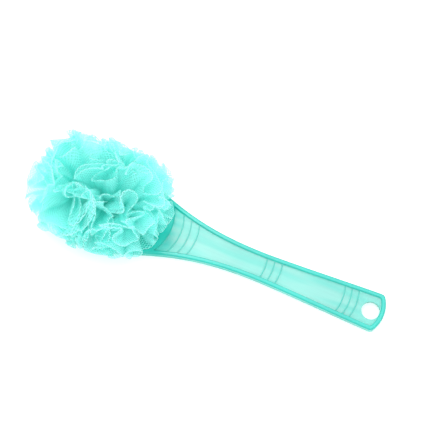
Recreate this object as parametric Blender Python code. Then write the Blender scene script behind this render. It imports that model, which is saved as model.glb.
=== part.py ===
"""Back scrubber: a moulded handle with an oval head plate that carries a puff of gathered netting.

It lies on its back: Z = 0 is the floor, +Z points out of the puff, and +X runs to the handle's tail.
Distances named ..._AT are measured along the handle from the tail end towards the head.
All sizes are in metres.
"""

import math

import bmesh
import bpy
from mathutils import Vector, geometry

# Whole object
OVERALL_LENGTH = 0.366  # tail end to the far side of the puff
FIT_GAP = 0.0003  # clearance between neighbouring solids

# Puff
PUFF_LENGTH = 0.143
PUFF_WIDTH = 0.110
PUFF_HEIGHT = 0.063  # above the floor
PUFF_MIDDLE_HEIGHT = 0.030  # height of its widest level
LOBE_SQUARENESS = 4.0  # 2 would make a lobe's top an ellipse
LOBE_OVERRUN = 0.010  # how far the end lobes' cutters pass the puff

# Ties
TIE_PITCH = 0.043
TIE_SPAN = 0.012  # between the two holes of a pair
CORD_DIAMETER = 0.0018
TIE_HOLE_DIAMETER = CORD_DIAMETER + 0.0018
WAIST_HEIGHT = 0.010  # gathered netting under the cord
KNOT_LENGTH = 0.0052
KNOT_WIDTH = 0.0044
KNOT_HEIGHT = 2 * CORD_DIAMETER
KNOT_TAIL = 0.0075  # each cut end, from the knot's middle
KNOT_TAIL_SLANT = 50  # degrees from the handle's length
POCKET_DEPTH = KNOT_HEIGHT + 0.0009
POCKET_WIDTH = 0.014
POCKET_LENGTH = TIE_SPAN + 0.018

# Handle outline
TAIL_WIDTH = 0.0386
TAIL_END_RADIUS = 0.034
TAIL_CORNER_RADIUS = 0.0048
TAIL_TANGENT = 0.014
GRIP_WIDTH = 0.0290
GRIP_AT = 0.130
GRIP_TAIL_TANGENT = 0.029
GRIP_HEAD_TANGENT = 0.096
HEAD_WIDTH = 0.094
HEAD_AT = OVERALL_LENGTH - PUFF_LENGTH / 2
HEAD_TANGENT = 0.044
HEAD_REACH = TIE_PITCH + 0.013  # head centre to its far end

# Handle section
HANDLE_THICKNESS = 0.0076
WEB_THICKNESS = 0.0030
RIM_WIDTH = 0.0046
OUTER_EDGE_RADIUS = 0.0018
RIM_INNER_RADIUS = 0.0011
WEB_CORNER_RADIUS = 0.0006
RECESS_CORNER_RADIUS = 0.0025
RECESS_DRAFT = 0.0002

# Recess end, hang hole and ribs
STEP_AT = HEAD_AT - 0.0735
STEP_RADIUS = 0.050
HANG_HOLE_RADIUS = 0.0088
HANG_HOLE_AT = RIM_WIDTH + HANG_HOLE_RADIUS
HANG_HOLE_LAND = 0.0003  # web left between the hole and the rim
RIB_GROUPS = (  # (first rib, pitch) of each group
    (HANG_HOLE_AT + HANG_HOLE_RADIUS + 0.0061, 0.0070),
    (GRIP_AT - 0.0233, 0.0078),
    (STEP_AT - 0.0262, 0.0082),
)
RIBS_PER_GROUP = 3
RIB_RADIUS = 0.050
RIB_WIDTH = 0.0012
RIB_HEIGHT = 0.0008

X_TAIL = OVERALL_LENGTH / 2
HEAD_X = X_TAIL - HEAD_AT
PUFF_X = PUFF_LENGTH / 2 - OVERALL_LENGTH / 2
RECESS_DEPTH = (HANDLE_THICKNESS - WEB_THICKNESS) / 2
WEB_TOP = HANDLE_THICKNESS - RECESS_DEPTH

# Modelling
THROUGH = 0.001  # how far cutters run past a face
SHARP_ANGLE = 40  # degrees between faces that are shaded as an edge
HEAD_STEPS = 14
ARCH_STEPS = 20
RIM_FLARE_ANGLES = (25, 50, 75)  # where the rim's inner rounding has its rows


def clear_scene():
    for item in list(bpy.data.objects):
        bpy.data.objects.remove(item)


def make_material(name, colour, roughness, transmission=0.0):
    material = bpy.data.materials.new(name)
    material.use_nodes = True
    shader = material.node_tree.nodes["Principled BSDF"]
    shader.inputs["Base Color"].default_value = (*colour, 1.0)
    shader.inputs["Roughness"].default_value = roughness
    shader.inputs["Metallic"].default_value = 0.0
    shader.inputs["Transmission Weight"].default_value = transmission
    return material


def add_object(name, bm, material=None, parent=None):
    """One named object from a bmesh. Without a material it is a cutter, which stays out of the model."""
    bmesh.ops.recalc_face_normals(bm, faces=bm.faces)
    mesh = bpy.data.meshes.new(name)
    bm.to_mesh(mesh)
    bm.free()
    item = bpy.data.objects.new(name, mesh)
    bpy.context.scene.collection.objects.link(item)
    if material is None:
        item.hide_render = True
        item.display_type = "WIRE"
    else:
        mesh.materials.append(material)
        mesh.shade_smooth()
        mesh.set_sharp_from_angle(angle=math.radians(SHARP_ANGLE))
    item.parent = parent
    return item


def add_boolean(item, operation, other):
    modifier = item.modifiers.new(f"{operation.lower()} {other.name}", "BOOLEAN")
    modifier.operation = operation
    modifier.solver = "EXACT"
    modifier.object = other


# Outlines


def bezier_run(start, start_reach, end, end_reach, steps):
    """Points of an S-curve whose two ends run along the handle. The first point is left out."""
    points = geometry.interpolate_bezier(
        Vector(start),
        Vector((start[0] + start_reach, start[1])),
        Vector((end[0] - end_reach, end[1])),
        Vector(end),
        steps + 1,
    )
    return [(p.x, p.y) for p in points[1:]]


def arc(centre, radius, start, end, steps):
    """Points from one angle to another, in degrees, with both ends."""
    angles = (math.radians(start + (end - start) * i / steps) for i in range(steps + 1))
    return [(centre[0] + radius * math.cos(a), centre[1] + radius * math.sin(a)) for a in angles]


def tail_end(inset, corner_radius):
    """(distance from the tail end, half width) round the tail, from its tip to the end of its corner."""
    end_radius = TAIL_END_RADIUS - inset
    corner_y = TAIL_WIDTH / 2 - inset - corner_radius
    corner_reach = math.sqrt((end_radius - corner_radius) ** 2 - corner_y**2)
    corner_angle = math.degrees(math.atan2(corner_y, -corner_reach))
    points = arc((TAIL_END_RADIUS, 0), end_radius, 180, corner_angle, 7)
    corner = (TAIL_END_RADIUS - corner_reach, corner_y)
    return points + arc(corner, corner_radius, corner_angle, 90, 5)[1:]


def half_outline():
    """(distance from the tail end, half width) from the tail's tip to the head's tip."""
    points = tail_end(0.0, TAIL_CORNER_RADIUS)
    grip = (GRIP_AT, GRIP_WIDTH / 2)
    head = (HEAD_AT, HEAD_WIDTH / 2)
    points += bezier_run(points[-1], TAIL_TANGENT, grip, GRIP_TAIL_TANGENT, 12)
    points += bezier_run(grip, GRIP_HEAD_TANGENT, head, HEAD_TANGENT, 20)
    for i in range(1, HEAD_STEPS):
        angle = math.radians(90 * i / HEAD_STEPS)
        points.append((HEAD_AT + HEAD_REACH * math.sin(angle), head[1] * math.cos(angle)))
    return points + [(HEAD_AT + HEAD_REACH, 0.0)]


def half_width(at):
    """Half the handle's width at a distance from the tail end."""
    points = half_outline()
    for (a, wide_a), (b, wide_b) in zip(points, points[1:]):
        if a <= at <= b:
            return wide_a + (wide_b - wide_a) * (at - a) / (b - a)
    return 0.0


def before_step(at, wide):
    """How far a point lies short of the step's arc, towards the tail."""
    return STEP_AT + STEP_RADIUS - math.sqrt(max(0.0, STEP_RADIUS**2 - wide**2)) - at


def half_recess():
    """(distance from the tail end, half width) of the recess: the rim's inner wall and the step's arc."""
    points = tail_end(RIM_WIDTH, RECESS_CORNER_RADIUS)
    outline = half_outline()
    for i in range(1, len(outline) - 1):
        along = (Vector(outline[i + 1]) - Vector(outline[i - 1])).normalized()
        inner = (outline[i][0] + RIM_WIDTH * along.y, outline[i][1] - RIM_WIDTH * along.x)
        if inner[0] <= points[-1][0]:
            continue
        short = before_step(*inner)
        if short <= 0:
            share = before_step(*points[-1]) / (before_step(*points[-1]) - short)
            inner = tuple(Vector(points[-1]).lerp(Vector(inner), share))
            break
        points.append(inner)
    angle = math.degrees(math.asin(inner[1] / STEP_RADIUS))
    return points + arc((STEP_AT + STEP_RADIUS, 0), STEP_RADIUS, 180 - angle, 180, 8)


def both_sides(upper):
    """A half outline and its mirror image as one loop in world X and Y, anticlockwise from above."""
    lower = [(at, -wide) for at, wide in reversed(upper[1:-1])]
    return [(X_TAIL - at, wide) for at, wide in upper + lower]


def offset_loop(loop, inset):
    """An anticlockwise loop moved inwards by inset, or outwards where inset is negative."""
    moved = []
    for i, here in enumerate(loop):
        before = Vector(loop[i - 1])
        after = Vector(loop[(i + 1) % len(loop)])
        first = (Vector(here) - before).normalized()
        second = (after - Vector(here)).normalized()
        inward = Vector((-first.y - second.y, first.x + second.x)).normalized()
        spread = max(0.5, inward.dot(Vector((-first.y, first.x))))
        moved.append(tuple(Vector(here) + inward * (inset / spread)))
    return moved


# Solids from outlines


def loft(bm, loop, rows, plane="XY"):
    """A closed solid through copies of the loop, one per (inset, height) row."""
    rings = []
    for inset, height in rows:
        ring = []
        for a, b in offset_loop(loop, inset) if inset else loop:
            place = (a, b, height) if plane == "XY" else (a, height, b)
            ring.append(bm.verts.new(place))
        rings.append(ring)
    for low, high in zip(rings, rings[1:]):
        for i in range(len(loop)):
            j = (i + 1) % len(loop)
            bm.faces.new((low[i], low[j], high[j], high[i]))
    bm.faces.new(reversed(rings[0]))
    bm.faces.new(rings[-1])


def rounded_rows(low, high, radius, steps):
    """Rows of a slab whose lower and upper edges are rounded."""
    angles = [math.radians(90 * i / steps) for i in range(steps + 1)]
    bottom = [(radius * (1 - math.sin(a)), low + radius * (1 - math.cos(a))) for a in angles]
    top = [(inset, low + high - height) for inset, height in reversed(bottom)]
    return bottom + top


def recess_rows(floor, outward):
    """Rows of a recess cutter from its floor out past the rim; outward is 1 upwards and -1 downwards."""
    wall_top = RECESS_DEPTH - RIM_INNER_RADIUS
    round_corner = WEB_CORNER_RADIUS * (1 - math.sqrt(0.5))
    rows = [(WEB_CORNER_RADIUS, 0.0), (round_corner, round_corner)]
    rows += [(0.0, WEB_CORNER_RADIUS), (-RECESS_DRAFT, wall_top)]
    for degrees in RIM_FLARE_ANGLES:
        angle = math.radians(degrees)
        flare = RECESS_DRAFT + RIM_INNER_RADIUS * (1 - math.cos(angle))
        rows.append((-flare, wall_top + RIM_INNER_RADIUS * math.sin(angle)))
    rows.append((rows[-1][0], RECESS_DEPTH + THROUGH))
    placed = [(inset, floor + outward * height) for inset, height in rows]
    return placed if outward > 0 else placed[::-1]


def circle_loop(x, y, radius, steps):
    return arc((x, y), radius, 0, 360 * (steps - 1) / steps, steps - 1)


def slot_loop(x, y, width, length, steps):
    """A round-ended slot along Y."""
    radius = width / 2
    reach = length / 2 - radius
    return arc((x, y + reach), radius, 0, 180, steps) + arc((x, y - reach), radius, 180, 360, steps)


# Handle


def rib_loop(at):
    """A thin arc across the web whose ends run into the rim."""
    reach = half_width(at) - RIM_WIDTH
    for _ in range(4):
        across = at + RIB_RADIUS - math.sqrt(RIB_RADIUS**2 - reach**2)
        reach = half_width(across) - RIM_WIDTH / 2
    angle = math.degrees(math.asin(reach / RIB_RADIUS))
    centre = (X_TAIL - at - RIB_RADIUS, 0)
    outer = arc(centre, RIB_RADIUS + RIB_WIDTH / 2, -angle, angle, 10)
    inner = arc(centre, RIB_RADIUS - RIB_WIDTH / 2, angle, -angle, 10)
    return outer + inner


def hang_hole_loop():
    """A circle in the web, flattened where the rim's inner wall comes too close to it."""
    limit = TAIL_END_RADIUS - RIM_WIDTH - WEB_CORNER_RADIUS / 2 - HANG_HOLE_LAND
    middle = Vector((X_TAIL - TAIL_END_RADIUS, 0))
    loop = []
    for point in circle_loop(X_TAIL - HANG_HOLE_AT, 0, HANG_HOLE_RADIUS, 48):
        away = Vector(point) - middle
        if away.length > limit:
            away *= limit / away.length
        loop.append(tuple(middle + away))
    return loop


def tie_places():
    """World X of the three ties, by the name of the bunch each one holds."""
    return {"inner": HEAD_X + TIE_PITCH, "middle": HEAD_X, "tip": HEAD_X - TIE_PITCH}


def build_handle(material, root):
    bm = bmesh.new()
    loft(bm, both_sides(half_outline()), rounded_rows(0.0, HANDLE_THICKNESS, OUTER_EDGE_RADIUS, 4))
    handle = add_object("handle", bm, material, root)

    bm = bmesh.new()
    recess = both_sides(half_recess())
    loft(bm, recess, recess_rows(WEB_TOP, 1))
    loft(bm, recess, recess_rows(RECESS_DEPTH, -1))
    add_boolean(handle, "DIFFERENCE", add_object("recess_cutter", bm))

    bm = bmesh.new()
    for group_at, pitch in RIB_GROUPS:
        for i in range(RIBS_PER_GROUP):
            rows = [
                (0.0, WEB_TOP - WEB_THICKNESS / 2),
                (0.0, WEB_TOP + RIB_HEIGHT / 2),
                (RIB_WIDTH / 4, WEB_TOP + RIB_HEIGHT),
            ]
            loft(bm, rib_loop(group_at + i * pitch), rows)
    add_boolean(handle, "UNION", add_object("rib_shapes", bm))

    bm = bmesh.new()
    for x in tie_places().values():
        loop = slot_loop(x, 0, POCKET_WIDTH, POCKET_LENGTH, 8)
        loft(bm, loop, [(0.0, -THROUGH), (0.0, POCKET_DEPTH)])
    add_boolean(handle, "DIFFERENCE", add_object("pocket_cutter", bm))

    bm = bmesh.new()
    ends = [(0.0, -THROUGH), (0.0, HANDLE_THICKNESS + THROUGH)]
    loft(bm, hang_hole_loop(), ends)
    for x in tie_places().values():
        for side in (-1, 1):
            loft(bm, circle_loop(x, side * TIE_SPAN / 2, TIE_HOLE_DIAMETER / 2, 12), ends)
    add_boolean(handle, "DIFFERENCE", add_object("hole_cutter", bm))
    return handle


# Ties


def tube_object(name, points, radius, closed, material=None, parent=None):
    """A round cord through the points, as a mesh."""
    curve = bpy.data.curves.new(name, "CURVE")
    curve.dimensions = "3D"
    curve.bevel_depth = radius
    curve.bevel_resolution = 2
    curve.use_fill_caps = not closed
    spline = curve.splines.new("POLY")
    spline.points.add(len(points) - 1)
    for slot, point in zip(spline.points, points):
        slot.co = (*point, 1.0)
    spline.use_cyclic_u = closed
    guide = bpy.data.objects.new(name, curve)
    bpy.context.scene.collection.objects.link(guide)
    bpy.context.view_layer.update()
    solid = guide.evaluated_get(bpy.context.evaluated_depsgraph_get())
    bm = bmesh.new()
    bm.from_mesh(solid.to_mesh())
    solid.to_mesh_clear()
    bpy.data.objects.remove(guide)
    bmesh.ops.remove_doubles(bm, verts=bm.verts, dist=0.00001)
    return add_object(name, bm, material, parent)


def tie_path(x):
    """The closed run of a tie: through the pocket, up one hole, over the waist and down the other."""
    low = POCKET_DEPTH / 2
    high = HANDLE_THICKNESS + WAIST_HEIGHT
    half = TIE_SPAN / 2
    turn = TIE_SPAN / 4
    corners = ((half, high, 0), (-half, high, 90), (-half, low, 180), (half, low, 270))
    path = []
    for y, z, start in corners:
        centre = (y - math.copysign(turn, y), z - (turn if z == high else -turn))
        if z == low:
            bend = POCKET_DEPTH / 3
            centre = (y - math.copysign(bend, y), z + bend)
            path += arc(centre, bend, start, start + 90, 4)
        else:
            path += arc(centre, turn, start, start + 90, 5)
    return [(x, y, z) for y, z in path]


def build_tie(name, x, material, root):
    radius = CORD_DIAMETER / 2
    tie = tube_object(name, tie_path(x), radius, True, material, root)
    middle = POCKET_DEPTH / 2
    bm = bmesh.new()
    bmesh.ops.create_uvsphere(bm, u_segments=14, v_segments=9, radius=0.5)
    bmesh.ops.scale(bm, vec=(KNOT_WIDTH, KNOT_LENGTH, KNOT_HEIGHT), verts=bm.verts)
    bmesh.ops.translate(bm, vec=(x, 0, middle), verts=bm.verts)
    add_boolean(tie, "UNION", add_object(f"{name}_knot_shape", bm))
    slant = math.radians(KNOT_TAIL_SLANT)
    ends = []
    for side in (-1, 0, 1):
        along = side * KNOT_TAIL
        ends.append((x + along * math.cos(slant), along * math.sin(slant), middle))
    tails = tube_object(f"{name}_tail_shape", ends, radius, False)
    add_boolean(tie, "UNION", tails)
    return tie


# Netting


def arch_loop(low_x, high_x):
    """A lobe's section in X and Z: straight sides under a squarish rounded top."""
    centre = (low_x + high_x) / 2
    half = (high_x - low_x) / 2
    rise = PUFF_HEIGHT - PUFF_MIDDLE_HEIGHT + LOBE_OVERRUN / 2
    base = HANDLE_THICKNESS + FIT_GAP
    points = [(high_x, base)]
    for i in range(ARCH_STEPS + 1):
        angle = math.pi * i / ARCH_STEPS
        across = math.copysign(abs(math.cos(angle)) ** (2 / LOBE_SQUARENESS), math.cos(angle))
        up = abs(math.sin(angle)) ** (2 / LOBE_SQUARENESS)
        points.append((centre + half * across, PUFF_MIDDLE_HEIGHT + rise * up))
    points.append((low_x, base))
    return points


def build_netting(name, low_x, high_x, side, tie_x, material, root):
    """One gathered length of netting: its share of the puff, with a bore for the tie."""
    bm = bmesh.new()
    bmesh.ops.create_uvsphere(bm, u_segments=40, v_segments=20, radius=0.5)
    height = 2 * (PUFF_HEIGHT - PUFF_MIDDLE_HEIGHT)
    bmesh.ops.scale(bm, vec=(PUFF_LENGTH, PUFF_WIDTH, height), verts=bm.verts)
    bmesh.ops.translate(bm, vec=(PUFF_X, 0, PUFF_MIDDLE_HEIGHT), verts=bm.verts)
    netting = add_object(name, bm, material, root)

    bm = bmesh.new()
    ends = sorted((side * FIT_GAP / 2, side * PUFF_WIDTH))
    loft(bm, arch_loop(low_x + FIT_GAP / 2, high_x - FIT_GAP / 2), [(0.0, y) for y in ends], "XZ")
    add_boolean(netting, "INTERSECT", add_object(f"{name}_lobe_shape", bm))

    bore = CORD_DIAMETER / 2 + FIT_GAP
    add_boolean(netting, "DIFFERENCE", tube_object(f"{name}_tie_bore", tie_path(tie_x), bore, True))
    return netting


def build_puff(material, root):
    edge = PUFF_LENGTH / 2 + LOBE_OVERRUN
    shares = {
        "inner": (HEAD_X + TIE_PITCH / 2, PUFF_X + edge),
        "middle": (HEAD_X - TIE_PITCH / 2, HEAD_X + TIE_PITCH / 2),
        "tip": (PUFF_X - edge, HEAD_X - TIE_PITCH / 2),
    }
    for bunch, (low_x, high_x) in shares.items():
        for side_name, side in (("left", 1), ("right", -1)):
            name = f"netting_{bunch}_{side_name}"
            build_netting(name, low_x, high_x, side, tie_places()[bunch], material, root)


def main():
    clear_scene()
    root = bpy.data.objects.new("back_scrubber", None)
    bpy.context.scene.collection.objects.link(root)
    plastic = make_material("clear_aqua_plastic", (0.20, 0.82, 0.72), 0.18, 0.6)
    net = make_material("aqua_netting", (0.30, 0.92, 0.82), 0.65)
    nylon = make_material("tie_nylon", (0.80, 0.94, 0.91), 0.5)
    build_handle(plastic, root)
    for bunch, x in tie_places().items():
        build_tie(f"tie_{bunch}", x, nylon, root)
    build_puff(net, root)


main()
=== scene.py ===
import math
import bmesh
import bpy
import numpy as np
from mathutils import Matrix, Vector


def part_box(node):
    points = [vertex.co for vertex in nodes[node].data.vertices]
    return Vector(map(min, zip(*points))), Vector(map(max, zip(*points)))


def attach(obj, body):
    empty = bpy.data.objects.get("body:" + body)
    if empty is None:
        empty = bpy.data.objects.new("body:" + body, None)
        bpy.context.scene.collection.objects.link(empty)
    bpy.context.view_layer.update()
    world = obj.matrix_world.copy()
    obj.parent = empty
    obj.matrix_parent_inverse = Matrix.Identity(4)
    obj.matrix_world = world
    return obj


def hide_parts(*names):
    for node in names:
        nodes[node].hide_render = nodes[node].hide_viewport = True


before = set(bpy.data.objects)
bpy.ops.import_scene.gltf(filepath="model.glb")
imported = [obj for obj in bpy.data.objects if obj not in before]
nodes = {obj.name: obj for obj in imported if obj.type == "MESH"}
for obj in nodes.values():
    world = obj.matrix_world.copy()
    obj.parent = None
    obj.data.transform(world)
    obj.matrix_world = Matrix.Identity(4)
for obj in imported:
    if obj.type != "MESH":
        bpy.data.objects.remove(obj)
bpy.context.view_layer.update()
print("frame loaded:", len(nodes), "nodes")

bunchNames = ("inner", "middle", "tip")
sideNames = ("left", "right")
bunchSides = [(bunch, side) for bunch in bunchNames for side in sideNames]


def newMaterial(name):
    material = bpy.data.materials.new(name)
    material.use_nodes = True
    tree = material.node_tree
    tree.nodes.clear()
    output = tree.nodes.new("ShaderNodeOutputMaterial")
    return material, tree, output


# a setting goes to the input socket of that name, or else to the node itself
def addNode(tree, kind, links=None, **settings):
    node = tree.nodes.new(kind)
    for key, value in settings.items():
        if key in node.inputs:
            node.inputs[key].default_value = value
        else:
            setattr(node, key, value)
    for key, socket in (links or {}).items():
        tree.links.new(socket, node.inputs[key])
    return node


def mathNode(tree, operation, first, second=None, clamp=False):
    node = addNode(tree, "ShaderNodeMath", operation=operation, use_clamp=clamp)
    for slot, value in enumerate((first, second)):
        if value is None:
            continue
        if isinstance(value, (int, float)):
            node.inputs[slot].default_value = value
        else:
            tree.links.new(value, node.inputs[slot])
    return node.outputs[0]


def rampNode(tree, value, stops):
    node = addNode(tree, "ShaderNodeValToRGB", {"Fac": value})
    ramp = node.color_ramp
    while len(ramp.elements) < len(stops):
        ramp.elements.new(0.5)
    for element, (place, colour) in zip(ramp.elements, stops):
        element.position = place
        element.color = (*colour, 1.0)
    return node.outputs["Color"]


# share is a number, or the socket of a pattern
def mixShaders(tree, share, first, second):
    mix = addNode(tree, "ShaderNodeMixShader")
    if isinstance(share, float):
        mix.inputs["Fac"].default_value = share
    else:
        tree.links.new(share, mix.inputs["Fac"])
    tree.links.new(first.outputs[0], mix.inputs[1])
    tree.links.new(second.outputs[0], mix.inputs[2])
    return mix


# the puff's outline, and how the outer edges of its folds are grown over it
puffLook = dict(
    seed=7,
    squareness=2.7,       # of the outline, 2 is an ellipse
    middleHeight=0.030,   # where the puff is widest
    clearance=0.0008,     # over the base of its stand-in
    growth=0.0005,        # wider than its stand-in
    pressFrom=0.88,       # edges that stand further out are pressed back
    pressTo=1.09,
    stretch=1.4,          # folds grow on a taller puff, so that they lie flatter round its sides
    ringPoints=48,        # each fold starts as a ring on its share of the puff
    ringSpread=1.15,
    ringTilt=70,
    ringSize=0.45,
    ringJitter=0.0008,
    growthSteps=300,
    mostPoints=2400,
    step=0.0040,          # spacing of points along a fold while it grows
    fineStep=0.0021,      # and when it has grown
    spacing=0.0062,       # how far apart two folds stand
    firstReach=1.5,       # extra reach at the start, so that the folds share the puff out evenly
    crowding=0.8,         # the share of the growth in which that wears off
    push=0.0011,
    smoothing=0.30,
    homePull=0.15,        # keeps a fold on its own bunch
    sidePull=0.10,        # and on its own side
    sideSlack=0.004,
    shiver=0.00006,
    splitLength=1.35,     # of a step
    splitRate=0.008,
)


def puffBox():
    corners = [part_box(f"netting_{bunch}_{side}") for bunch, side in bunchSides]
    low = np.array([low for low, _ in corners]).min(0)
    high = np.array([high for _, high in corners]).max(0)
    return low, high


def unit(vectors):
    return vectors / (np.linalg.norm(vectors, axis=1)[:, None] + 1e-12)


def following(fold):
    return np.roll(fold, -1, 0)


def previous(fold):
    return np.roll(fold, 1, 0)


# 1 on the puff's outline, less inside it
def outlineShare(points, puff):
    away = (points - puff["middle"]) / puff["half"]
    return (np.abs(away) ** puffLook["squareness"]).sum(1) ** (1 / puffLook["squareness"])


def toShell(points, puff):
    away = (points - puff["middle"]) / puff["half"]
    points = puff["middle"] + away / outlineShare(points, puff)[:, None] * puff["half"]
    points[:, 2] = np.maximum(points[:, 2], puff["floor"])
    return points


def pressIn(points, puff):
    size = outlineShare(points, puff)
    start = puffLook["pressFrom"]
    room = puffLook["pressTo"] - start
    pressed = start + room * (1 - np.exp(-np.maximum(0.0, size - start) / room))
    share = np.where(size > start, pressed / np.maximum(size, 1e-9), 1.0)
    return puff["middle"] + (points - puff["middle"]) * share[:, None]


def startRings(puff, rng):
    rings, homes = [], []
    angles = np.linspace(0, 2 * np.pi, puffLook["ringPoints"], endpoint=False)[:, None]
    tilt = math.radians(puffLook["ringTilt"])
    for bunch in bunchNames:
        for side in (1, -1):
            along = (puff["ties"][bunch] - puff["middle"][0]) / puff["half"][0] * puffLook["ringSpread"]
            wide = math.sqrt(1 - along * along)
            centre = np.array([along, side * math.sin(tilt) * wide, math.cos(tilt) * wide])
            first = unit(np.cross([[0.0, 0.0, 1.0]], centre))[0]
            second = np.cross(centre, first)
            ring = centre + puffLook["ringSize"] * (np.cos(angles) * first + np.sin(angles) * second)
            ring = puff["middle"] + ring * puff["half"]
            rings.append(toShell(ring + rng.normal(0, puffLook["ringJitter"], ring.shape), puff))
            homes.append((puff["ties"][bunch], side))
    return rings, np.array(homes)


# each point is pushed away from other folds, and from far stretches of its own fold
def pushApart(points, owner, sizes, reach):
    squares = (points * points).sum(1)
    gaps = squares[:, None] + squares[None] - 2 * points @ points.T
    one, other = np.nonzero(gaps < reach * reach)
    along = np.abs(one - other)
    along = np.minimum(along, np.array(sizes)[owner[one]] - along)
    keep = ~((owner[one] == owner[other]) & (along <= int(reach / puffLook["step"])))
    one, other = one[keep], other[keep]
    apart = points[one] - points[other]
    far = np.sqrt((apart * apart).sum(1)) + 1e-9
    push = apart / far[:, None] * (1 - far / reach)[:, None]
    return np.stack([np.bincount(one, push[:, axis], len(points)) for axis in range(3)], 1)


def pullHome(points, homes, puff):
    off = points[:, 0] - homes[:, 0]
    over = np.maximum(0.0, np.abs(off) - puff["pitch"] / 2) * np.sign(off)
    towardMiddle = np.sign(off) == np.sign(puff["middle"][0] - homes[:, 0])
    inward = towardMiddle | (homes[:, 0] == puff["ties"]["middle"])
    points[:, 0] -= puffLook["homePull"] * over * inward
    wrongSide = np.maximum(0.0, -points[:, 1] * homes[:, 1] - puffLook["sideSlack"])
    points[:, 1] += puffLook["sidePull"] * wrongSide * homes[:, 1]


# long steps are split, and now and then another one, which is what makes a fold meander
def splitSteps(fold, rng, full):
    edges = following(fold) - fold
    split = np.sqrt((edges * edges).sum(1)) > puffLook["splitLength"] * puffLook["step"]
    split |= rng.random(len(fold)) < puffLook["splitRate"]
    split &= not full
    source = np.repeat(np.arange(len(fold)), 1 + split.astype(int))
    added = np.r_[False, source[1:] == source[:-1]]
    fold = fold[source]
    fold[added] += edges[source[added]] / 2
    return fold


def growFolds(puff):
    rng = np.random.default_rng(puffLook["seed"])
    folds, homes = startRings(puff, rng)
    for step in range(puffLook["growthSteps"]):
        early = max(0.0, 1 - step / (puffLook["crowding"] * puffLook["growthSteps"]))
        reach = puffLook["spacing"] * (1 + puffLook["firstReach"] * early)
        sizes = [len(fold) for fold in folds]
        points = np.concatenate(folds)
        owner = np.repeat(np.arange(len(folds)), sizes)
        mates = np.concatenate([(previous(fold) + following(fold)) / 2 for fold in folds])
        pushes = pushApart(points, owner, sizes, reach)
        points = points + puffLook["smoothing"] * (mates - points) + puffLook["push"] * pushes
        pullHome(points, homes[owner], puff)
        points = toShell(points + rng.normal(0, puffLook["shiver"], points.shape), puff)
        full = len(points) >= puffLook["mostPoints"]
        folds = [splitSteps(fold, rng, full) for fold in np.split(points, np.cumsum(sizes)[:-1])]
    return folds


def soften(fold, times):
    for _ in range(times):
        fold = fold + 0.5 * ((previous(fold) + following(fold)) / 2 - fold)
    return fold


# the same fold with evenly spaced points
def evenFold(fold, puff):
    fold = soften(fold, 3)
    closed = np.vstack([fold, fold[:1]])
    along = np.r_[0.0, np.cumsum(np.linalg.norm(np.diff(closed, axis=0), axis=1))]
    places = np.linspace(0, along[-1], int(along[-1] / puffLook["fineStep"]), endpoint=False)
    fold = np.stack([np.interp(places, along, closed[:, axis]) for axis in range(3)], 1)
    return toShell(soften(fold, 2), puff)


# one double layer of netting, from its outer edge down to the waist under the tie
sheetLook = dict(
    leanSeed=61,
    curlSeed=81,
    liftSeed=72,
    edgeSeed=50,          # the first sheet's, and each next one counts on
    crumpleSeed=90,
    waveSpread=(0.75, 1.3),   # how much the waves of one noise differ
    normalPasses=4,
    depths=(0.0, 0.0005, 0.0015, 0.0034, 0.0060, 0.0092, 0.0130, 0.0175, 0.0230, 0.0300, 0.0400),
    opening=(0.0, 0.0004, 0.0006, 0.0008, 0.0010, 0.0012, 0.0012, 0.0010, 0.0008, 0.0006, 0.0004),
    squeeze=(0.50, 0.12, 0.16),  # how much of its place a sheet keeps at its inner end
    heartHeight=0.006,    # the puff's heart, over the head plate
    waistHeight=0.002,
    waistFrom=0.6,        # of the depth, below which a sheet is drawn in to its waist
    waistPull=0.75,
    leanReach=0.0060,     # bundles of folds lean over together
    leanWave=0.052,
    leanDepth=0.0150,
    leanEnd=0.25,         # the inner share of the way, where it fades out
    leanLow=0.5,          # of it is left low on the puff
    leanFrom=0.020,
    leanRise=0.020,
    curlReach=0.0062,     # smaller curls nearer the edge
    curlWave=0.023,
    curlDepth=0.0080,
    rippleReach=0.0010,   # small ripples along an edge
    rippleWave=0.0150,
    rippleDepth=0.0070,
    rippleWander=0.9,     # how uneven they are
    wanderTerms=8,
    rippleFade=0.25,
    rippleFades=5,        # round a fold
    scallop=0.0003,
    scallopDepth=0.0040,
    edgeLift=0.0034,
    liftWave=0.024,
    crumple=0.0003,
    crumpleWave=0.0100,
    crumpleWaves=9,
    crumpleFrom=0.0040,
    valleyDepth=0.18,     # between the tip bunch and the others
    valleyWidth=0.0080,
    valleyFrom=0.020,
    valleyRise=0.030,
    valleyLean=0.0025,    # the folds on both sides lean away from it
    valleyReach=0.030,
)


# smooth noise, as a sum of plane waves
def softWaves(seed, wave, count=5):
    rng = np.random.default_rng(seed)
    directions = rng.normal(size=(count, 3))
    directions /= np.linalg.norm(directions, axis=1)[:, None]
    directions *= 2 * np.pi / wave * rng.uniform(*sheetLook["waveSpread"], count)[:, None]
    phases = rng.uniform(0, 2 * np.pi, count)
    return lambda points: np.sin(points @ directions.T + phases).sum(1) / math.sqrt(count / 2)


def waveWarp(fold, seed, wave, reach):
    waves = [softWaves(seed + axis, wave) for axis in range(3)]
    return np.stack([wave(fold) for wave in waves], 1) * reach


def leanWarp(fold, away, puff):
    warp = waveWarp(fold, sheetLook["leanSeed"], sheetLook["leanWave"], sheetLook["leanReach"])
    warp = warp - (warp * away).sum(1)[:, None] * away
    raised = np.clip((fold[:, 2] - sheetLook["leanFrom"]) / sheetLook["leanRise"], 0, 1)
    low = sheetLook["leanLow"]
    warp = warp * (low + (1 - low) * raised)[:, None]
    apart = np.clip((fold[:, 0] - puff["valley"]) / sheetLook["valleyReach"], -1, 1)
    warp[:, 0] += sheetLook["valleyLean"] * np.sin(apart * np.pi)
    return warp


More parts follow.
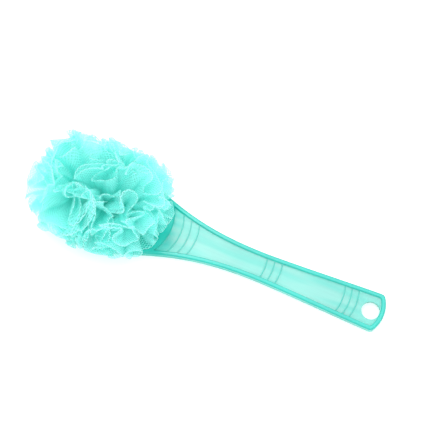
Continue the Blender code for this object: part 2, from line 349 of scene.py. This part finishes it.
def valleySink(fold, heart, puff):
    near = np.exp(-((fold[:, 0] - puff["valley"]) / sheetLook["valleyWidth"]) ** 2)
    raised = np.clip((fold[:, 2] - sheetLook["valleyFrom"]) / sheetLook["valleyRise"], 0, 1)
    return (heart - fold) * (sheetLook["valleyDepth"] * near * raised)[:, None]


# uneven ripples that close round the fold, and the scallops that go with them
def edgeRipples(count, seed):
    rng = np.random.default_rng(seed)
    waves = max(4, round(count * puffLook["fineStep"] / sheetLook["rippleWave"]))
    turn = np.linspace(0, 2 * np.pi, count, endpoint=False)
    swing = np.zeros(count)
    for term in range(1, sheetLook["wanderTerms"] + 1):
        strength = rng.normal(0, sheetLook["rippleWander"] / term)
        swing += strength * np.sin(term * turn + rng.uniform(0, 2 * np.pi))
    phase = waves * turn + 2 * swing
    fade = sheetLook["rippleFade"]
    ripple = np.sin(phase) * (1 - fade + fade * np.sin(sheetLook["rippleFades"] * turn + swing))
    return ripple, np.cos(2 * phase)


def sheetRows(fold, puff, tieX, number):
    heart = np.array([puff["middle"][0], 0.0, puff["floor"] + sheetLook["heartHeight"]])
    waist = np.array([tieX, 0.0, puff["floor"] + sheetLook["waistHeight"]])
    away = unit(fold - heart)
    way = (fold - heart) * (np.array(sheetLook["squeeze"]) - 1)
    reach = np.linalg.norm(way, axis=1)[:, None]
    normal = unit(np.cross(unit(following(fold) - previous(fold)), way / reach))
    for _ in range(sheetLook["normalPasses"]):
        normal = unit(normal + previous(normal) + following(normal))
    lean = leanWarp(fold, away, puff)
    curl = waveWarp(fold, sheetLook["curlSeed"], sheetLook["curlWave"], sheetLook["curlReach"])
    lift = softWaves(sheetLook["liftSeed"], sheetLook["liftWave"])
    rise = away * (lift(fold) * sheetLook["edgeLift"])[:, None]
    sink = valleySink(fold, heart, puff)
    ripple, scallop = edgeRipples(len(fold), sheetLook["edgeSeed"] + number)
    crumpleSeed = sheetLook["crumpleSeed"] + number
    crumple = softWaves(crumpleSeed, sheetLook["crumpleWave"], sheetLook["crumpleWaves"])
    layers = {1: [], -1: []}
    for depth, opening in zip(sheetLook["depths"], sheetLook["opening"]):
        share = depth / sheetLook["depths"][-1]
        loose = math.exp(-depth / sheetLook["leanDepth"]) * min(1.0, (1 - share) / sheetLook["leanEnd"])
        at = fold + way * share + sink * (1 - share)
        at = at + (lean + rise) * loose + curl * math.exp(-depth / sheetLook["curlDepth"])
        rippled = ripple * sheetLook["rippleReach"] * math.exp(-depth / sheetLook["rippleDepth"])
        scalloped = scallop * sheetLook["scallop"] * math.exp(-depth / sheetLook["scallopDepth"])
        at = at + normal * rippled[:, None] + away * scalloped[:, None]
        drawn = max(0.0, (share - sheetLook["waistFrom"]) / (1 - sheetLook["waistFrom"])) ** 2
        at = at + (waist - at) * (sheetLook["waistPull"] * drawn)
        crumpled = crumple(at) * sheetLook["crumple"] * min(1.0, depth / sheetLook["crumpleFrom"])
        for side in (1, -1):
            points = pressIn(at + normal * (side * opening + crumpled)[:, None], puff)
            points[:, 2] = np.maximum(points[:, 2], puff["floor"])
            layers[side].append(points)
    return layers[1][::-1] + layers[-1][1:]


# the first row is a closed chain of edges, and each extrusion of it is laid on the next row
# the chain runs the way that makes the faces point outwards
def buildNetting(name, rows, step):
    count = len(rows[0])
    down = np.r_[0.0, np.cumsum([np.linalg.norm(b - a, axis=1).mean() for a, b in zip(rows, rows[1:])])]
    down -= down[len(rows) // 2]
    mesh = bmesh.new()
    verts = [mesh.verts.new(point) for point in rows[0]]
    edges = [mesh.edges.new((verts[i - 1], verts[i])) for i in range(count)]
    places = {vert: (i, 0) for i, vert in enumerate(verts)}
    for row in range(1, len(rows)):
        made = bmesh.ops.extrude_edge_only(mesh, edges=edges)["geom"]
        edges = [item for item in made if isinstance(item, bmesh.types.BMEdge)
                 and not any(vert in places for vert in item.verts)]
        fresh = [item for item in made if isinstance(item, bmesh.types.BMVert)]
        mates = [next(edge.other_vert(vert) for edge in vert.link_edges if edge.other_vert(vert) in places)
                 for vert in fresh]
        for vert, mate in zip(fresh, mates):
            column = places[mate][0]
            vert.co = rows[row][column]
            places[vert] = (column, row)
    uvLayer = mesh.loops.layers.uv.new("UVMap")
    for face in mesh.faces:
        face.smooth = True
        columns = [places[loop.vert][0] for loop in face.loops]
        wraps = max(columns) - min(columns) > 1
        for loop in face.loops:
            column, row = places[loop.vert]
            loop[uvLayer].uv = ((count if wraps and column == 0 else column) * step, down[row])
    data = bpy.data.meshes.new(name)
    mesh.to_mesh(data)
    mesh.free()
    piece = bpy.data.objects.new(name, data)
    bpy.context.scene.collection.objects.link(piece)
    subdivision = piece.modifiers.new("smooth", "SUBSURF")
    subdivision.levels = subdivision.render_levels = 1
    return piece


netLook = dict(
    cellAcross=0.0022,    # of one diamond of the net
    cellDown=0.0030,
    strand=0.12,          # half a strand's width, as a share of a cell
    strandCover=0.66,
    film=0.12,            # strands too fine to draw
    edgeWidth=0.0016,     # the folded edge lets less light by
    edgeCover=0.40,
    colours=((0.0, (0.435, 0.953, 0.922)), (0.8, (0.66, 0.99, 0.97))),   # of the cloth and of its edge
    roughness=0.45,
    specular=0.3,
    glow=0.5,             # light that comes through a strand
)


def nettingMaterial():
    material, tree, output = newMaterial("nettingMesh")
    uv = addNode(tree, "ShaderNodeUVMap", uv_map="UVMap").outputs["UV"]
    split = addNode(tree, "ShaderNodeSeparateXYZ", {"Vector": uv})
    across = mathNode(tree, "DIVIDE", split.outputs["X"], netLook["cellAcross"])
    diagonals = []
    for cellDown in (netLook["cellDown"], -netLook["cellDown"]):
        slant = mathNode(tree, "ADD", across, mathNode(tree, "DIVIDE", split.outputs["Y"], cellDown))
        wave = mathNode(tree, "PINGPONG", slant, 0.5)
        diagonals.append(mathNode(tree, "LESS_THAN", wave, netLook["strand"]))
    net = mathNode(tree, "MAXIMUM", *diagonals)
    fromEdge = mathNode(tree, "DIVIDE", mathNode(tree, "ABSOLUTE", split.outputs["Y"]), netLook["edgeWidth"])
    edge = mathNode(tree, "SUBTRACT", 1.0, fromEdge, clamp=True)
    cover = mathNode(tree, "MULTIPLY", net, netLook["strandCover"])
    cover = mathNode(tree, "ADD", cover, netLook["film"])
    edgeCover = mathNode(tree, "MULTIPLY", edge, netLook["edgeCover"])
    cover = mathNode(tree, "ADD", cover, edgeCover, clamp=True)
    colour = rampNode(tree, edge, netLook["colours"])
    body = addNode(tree, "ShaderNodeBsdfPrincipled", {"Base Color": colour}, **{
        "Roughness": netLook["roughness"], "Specular IOR Level": netLook["specular"]})
    through = addNode(tree, "ShaderNodeBsdfTranslucent", {"Color": colour})
    cloth = mixShaders(tree, netLook["glow"], body, through)
    gap = addNode(tree, "ShaderNodeBsdfTransparent")
    mix = mixShaders(tree, cover, gap, cloth)
    tree.links.new(mix.outputs[0], output.inputs["Surface"])
    return material


def puffShape():
    low, high = puffBox()
    middle = puffLook["middleHeight"]
    half = np.array([(high[0] - low[0]) / 2, high[1], high[2] - middle])
    ties = {bunch: sum(corner[0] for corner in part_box(f"tie_{bunch}")) / 2 for bunch in bunchNames}
    return {
        "middle": np.array([(low[0] + high[0]) / 2, 0.0, middle]),
        "half": half + (puffLook["growth"], puffLook["growth"], 0.0),
        "floor": float(low[2]) + puffLook["clearance"],
        "ties": ties,
        "pitch": ties["inner"] - ties["middle"],
        "valley": (ties["middle"] + ties["tip"]) / 2,
    }


def puffFolds(puff):
    middle, stretch = puffLook["middleHeight"], puffLook["stretch"]
    tall = dict(puff, half=puff["half"] * (1, 1, stretch))
    tall["floor"] = middle + (puff["floor"] - middle) * stretch
    folds = growFolds(tall)
    for fold in folds:
        fold[:, 2] = middle + (fold[:, 2] - middle) / stretch
    return [evenFold(fold, puff) for fold in folds]


puff = puffShape()
folds = puffFolds(puff)
print("folds grown:", sum(len(fold) for fold in folds), "points")
nettingFinish = nettingMaterial()
for number, ((bunch, side), fold) in enumerate(zip(bunchSides, folds)):
    rows = sheetRows(fold, puff, puff["ties"][bunch], number)
    edgeLength = float(np.linalg.norm(following(fold) - fold, axis=1).sum())
    piece = buildNetting(f"netting{bunch.capitalize()}{side.capitalize()}", rows, edgeLength / len(fold))
    piece.data.materials.append(nettingFinish)
    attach(piece, "root")
    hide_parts(f"netting_{bunch}_{side}")


handleLook = dict(
    layers=(              # colours at shares of the way from the middle of the thickness to a face: the plastic's own aqua, with painted light and shade for light passing through more or less of it
        (0.00, (0.015, 0.540, 0.445)),   # walls, seen through their whole depth, painted dark as shade
        (0.34, (0.015, 0.540, 0.445)),
        (0.40, (0.265, 0.785, 0.715)),   # the thin web, painted lighter
        (0.44, (0.265, 0.785, 0.715)),
        (0.56, (0.180, 0.725, 0.650)),   # ribs, painted darker than the web
        (0.78, (0.035, 0.610, 0.520)),   # the rim's rounded shoulders, in painted shade
        (0.95, (0.035, 0.610, 0.520)),
        (1.00, (0.100, 0.740, 0.655)),   # and its top, painted lighter than its shoulders
    ),
    webTop=0.46,          # the web ends there, on the same scale
    headShadowTint=(0.42, 0.99, 0.97),   # painted shadow of the netting over the head plate, which is also solid, so its colour is deeper
    headStart=0.030,      # from the inner tie
    headFade=0.014,
    shade=0.83,
    cloudSize=0.060,
    cloudDepth=0.22,
    milkAndHighlight=(0.450, 0.800, 0.750),    # pale milky streaks in the web, partly a painted highlight
    milkAndHighlightLength=0.080,
    milkAndHighlightWidth=0.011,
    milkAndHighlightRange=(0.40, 0.62),        # of the noise, from clear to milky and painted highlight
    milkAndHighlightShare=0.55,
    streakLength=0.110,   # the way the plastic flowed
    streakWidth=0.0030,
    streakDepth=0.14,
    roughness=0.18,
    scuff=0.12,           # extra roughness where it is rubbed
    scuffSize=0.0016,
    scuffBump=0.25,       # beside the streaks
    bump=0.25,
    bumpHeight=0.0002,
    ior=1.46,
    transmission=0.30,
)


def handleMaterial():
    material, tree, output = newMaterial("aquaPlastic")
    place = addNode(tree, "ShaderNodeTexCoord").outputs["Object"]
    split = addNode(tree, "ShaderNodeSeparateXYZ", {"Vector": place})
    middle = float(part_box("handle")[1][2]) / 2
    off = mathNode(tree, "ABSOLUTE", mathNode(tree, "SUBTRACT", split.outputs["Z"], middle))
    away = mathNode(tree, "DIVIDE", off, middle)
    # painted light and shade by depth in the plastic: dark walls and shoulders, a lighter web
    colour = rampNode(tree, away, handleLook["layers"])
    # the head plate under the puff is tinted deeper: painted shadow of the netting, and its solid plastic
    headEdge = float(puff["ties"]["inner"]) + handleLook["headStart"]
    solidAndShadedHead = addNode(tree, "ShaderNodeMapRange", {"Value": split.outputs["X"]},
                    interpolation_type="SMOOTHSTEP",
                    **{"From Min": headEdge + handleLook["headFade"], "From Max": headEdge})
    tinted = addNode(tree, "ShaderNodeMix", data_type="RGBA", blend_type="MULTIPLY")
    tree.links.new(solidAndShadedHead.outputs[0], tinted.inputs[0])   # the colour sockets are found by number
    tree.links.new(colour, tinted.inputs[6])
    tinted.inputs[7].default_value = (*handleLook["headShadowTint"], 1.0)
    cloud = addNode(tree, "ShaderNodeTexNoise", {"Vector": place},
                    Scale=1 / handleLook["cloudSize"], Detail=2.0)
    flow = addNode(tree, "ShaderNodeMapping", {"Vector": place},
                   Scale=(1 / handleLook["streakLength"], 1 / handleLook["streakWidth"], 1.0))
    streak = addNode(tree, "ShaderNodeTexNoise", {"Vector": flow.outputs[0]},
                     Scale=1.0, Detail=3.0, Roughness=0.6)
    drawn = addNode(tree, "ShaderNodeMapping", {"Vector": place},
                    Scale=(1 / handleLook["milkAndHighlightLength"], 1 / handleLook["milkAndHighlightWidth"], 1.0))
    pale = addNode(tree, "ShaderNodeTexNoise", {"Vector": drawn.outputs[0]}, Scale=1.0, Detail=1.0)
    clear, milky = handleLook["milkAndHighlightRange"]
    milkAndHighlightMask = addNode(tree, "ShaderNodeMapRange", {"Value": pale.outputs["Fac"]},
                        **{"From Min": clear, "From Max": milky, "To Max": handleLook["milkAndHighlightShare"]})
    inWeb = mathNode(tree, "LESS_THAN", away, handleLook["webTop"])
    # the web is whitened in milky streaks, which also paint its highlight
    whitened = addNode(tree, "ShaderNodeMix", data_type="RGBA")
    tree.links.new(mathNode(tree, "MULTIPLY", milkAndHighlightMask.outputs[0], inWeb), whitened.inputs[0])
    tree.links.new(tinted.outputs[2], whitened.inputs[6])
    whitened.inputs[7].default_value = (*handleLook["milkAndHighlight"], 1.0)
    scuff = addNode(tree, "ShaderNodeTexNoise", {"Vector": place},
                    Scale=1 / handleLook["scuffSize"], Detail=4.0)
    shade = mathNode(tree, "ADD", mathNode(tree, "MULTIPLY", cloud.outputs["Fac"], handleLook["cloudDepth"]),
                     mathNode(tree, "MULTIPLY", streak.outputs["Fac"], handleLook["streakDepth"]))
    shade = mathNode(tree, "ADD", shade, handleLook["shade"])
    clouded = addNode(tree, "ShaderNodeVectorMath", {0: whitened.outputs[2]}, operation="SCALE")
    tree.links.new(shade, clouded.inputs["Scale"])
    rubbed = mathNode(tree, "MULTIPLY", scuff.outputs["Fac"], handleLook["scuff"])
    rubbed = mathNode(tree, "ADD", rubbed, handleLook["roughness"])
    grain = mathNode(tree, "MULTIPLY", scuff.outputs["Fac"], handleLook["scuffBump"])
    grain = mathNode(tree, "ADD", streak.outputs["Fac"], grain)
    bump = addNode(tree, "ShaderNodeBump", {"Height": grain},
                   Strength=handleLook["bump"], Distance=handleLook["bumpHeight"])
    shader = addNode(tree, "ShaderNodeBsdfPrincipled",
                     {"Base Color": clouded.outputs[0], "Roughness": rubbed, "Normal": bump.outputs[0]},
                     **{"IOR": handleLook["ior"], "Transmission Weight": handleLook["transmission"]})
    tree.links.new(shader.outputs[0], output.inputs["Surface"])
    return material


tieLook = dict(
    colours=((0.0, (0.50, 0.66, 0.64)), (0.45, (0.80, 0.88, 0.86))),   # between the strands, darker as painted shade in the grooves, and on them
    roughness=0.45,
    softness=0.1,
    softReach=0.001,
    twist=0.0011,         # from strand to strand
    twistDepth=0.0003,
    twistBump=0.6,
    unevenness=1.2,
)


def tieMaterial():
    material, tree, output = newMaterial("twistedNylon")
    place = addNode(tree, "ShaderNodeTexCoord").outputs["Object"]
    strands = addNode(tree, "ShaderNodeTexWave", {"Vector": place}, wave_type="BANDS",
                      bands_direction="DIAGONAL", Scale=2 * math.pi / (20 * tieLook["twist"]),
                      Distortion=tieLook["unevenness"], Detail=2.0)
    # darker between the strands: painted shade in the grooves of the twist
    colour = rampNode(tree, strands.outputs["Fac"], tieLook["colours"])
    bump = addNode(tree, "ShaderNodeBump", {"Height": strands.outputs["Fac"]},
                   Strength=tieLook["twistBump"], Distance=tieLook["twistDepth"])
    shader = addNode(tree, "ShaderNodeBsdfPrincipled", {"Base Color": colour, "Normal": bump.outputs[0]}, **{
        "Roughness": tieLook["roughness"], "Subsurface Weight": tieLook["softness"],
        "Subsurface Scale": tieLook["softReach"]})
    tree.links.new(shader.outputs[0], output.inputs["Surface"])
    return material


finishes = {"handle": handleMaterial()}
nylon = tieMaterial()
for bunch in bunchNames:
    finishes[f"tie_{bunch}"] = nylon
for name, finish in finishes.items():
    slots = nodes[name].data.materials
    for number in range(len(slots)):
        slots[number] = finish
print("materials assigned")


roomLook = dict(
    floorReach=3.0,
    floorGap=0.0002,      # so that the floor and the back don't lie in one plane
    floorColour=(0.9, 0.9, 0.9),
    floorRoughness=0.6,
    floorGlow=0.3,
    skyStrength=1.05,
    lamps=(("key", (-0.6, 0.5, 1.3), 9.0), ("fill", (0.9, -0.7, 1.1), 4.0)),
    lampSize=0.9,
    lampAim=(0.0, 0.0, 0.02),
)
cameraLook = dict(azimuth=22.875, elevation=68.0, distance=1.2, target=(-0.00895, 0.03611, 0.0), lens=102.98)
# light has to find its way through many layers of netting
lightPaths = dict(max_bounces=16, diffuse_bounces=10, transmission_bounces=16, transparent_max_bounces=48)


def addFloor():
    mesh = bmesh.new()
    bmesh.ops.create_grid(mesh, x_segments=2, y_segments=2, size=roomLook["floorReach"])
    bmesh.ops.translate(mesh, vec=(0, 0, -roomLook["floorGap"]), verts=mesh.verts)
    data = bpy.data.meshes.new("floor")
    mesh.to_mesh(data)
    mesh.free()
    floor = bpy.data.objects.new("floor", data)
    bpy.context.scene.collection.objects.link(floor)
    material, tree, output = newMaterial("paleFloor")
    shader = addNode(tree, "ShaderNodeBsdfPrincipled", **{
        "Base Color": (*roomLook["floorColour"], 1.0), "Roughness": roomLook["floorRoughness"],
        "Emission Color": (1.0, 1.0, 1.0, 1.0), "Emission Strength": roomLook["floorGlow"]})
    tree.links.new(shader.outputs[0], output.inputs["Surface"])
    data.materials.append(material)


def addLights():
    world = bpy.data.worlds.new("softRoom")
    world.use_nodes = True
    sky = world.node_tree.nodes["Background"]
    sky.inputs["Color"].default_value = (1.0, 1.0, 1.0, 1.0)
    sky.inputs["Strength"].default_value = roomLook["skyStrength"]
    bpy.context.scene.world = world
    for name, place, power in roomLook["lamps"]:
        light = bpy.data.lights.new(name, "AREA")
        light.shape = "DISK"
        light.size = roomLook["lampSize"]
        light.energy = power
        lamp = bpy.data.objects.new(name, light)
        lamp.location = place
        toAim = Vector(roomLook["lampAim"]) - Vector(place)
        lamp.rotation_euler = toAim.to_track_quat("-Z", "Y").to_euler()
        bpy.context.scene.collection.objects.link(lamp)


def addCamera():
    angle, rise = math.radians(cameraLook["azimuth"]), math.radians(cameraLook["elevation"])
    toward = Vector((math.sin(angle) * math.cos(rise), -math.cos(angle) * math.cos(rise), math.sin(rise)))
    data = bpy.data.cameras.new("camera")
    data.lens = cameraLook["lens"]
    camera = bpy.data.objects.new("camera", data)
    camera.location = Vector(cameraLook["target"]) + toward * cameraLook["distance"]
    camera.rotation_euler = toward.to_track_quat("Z", "Y").to_euler()
    bpy.context.scene.collection.objects.link(camera)
    bpy.context.scene.camera = camera


addFloor()
addLights()
addCamera()
bpy.context.scene.view_settings.view_transform = "Standard"
for name, count in lightPaths.items():
    setattr(bpy.context.scene.cycles, name, count)
print("stage ready")
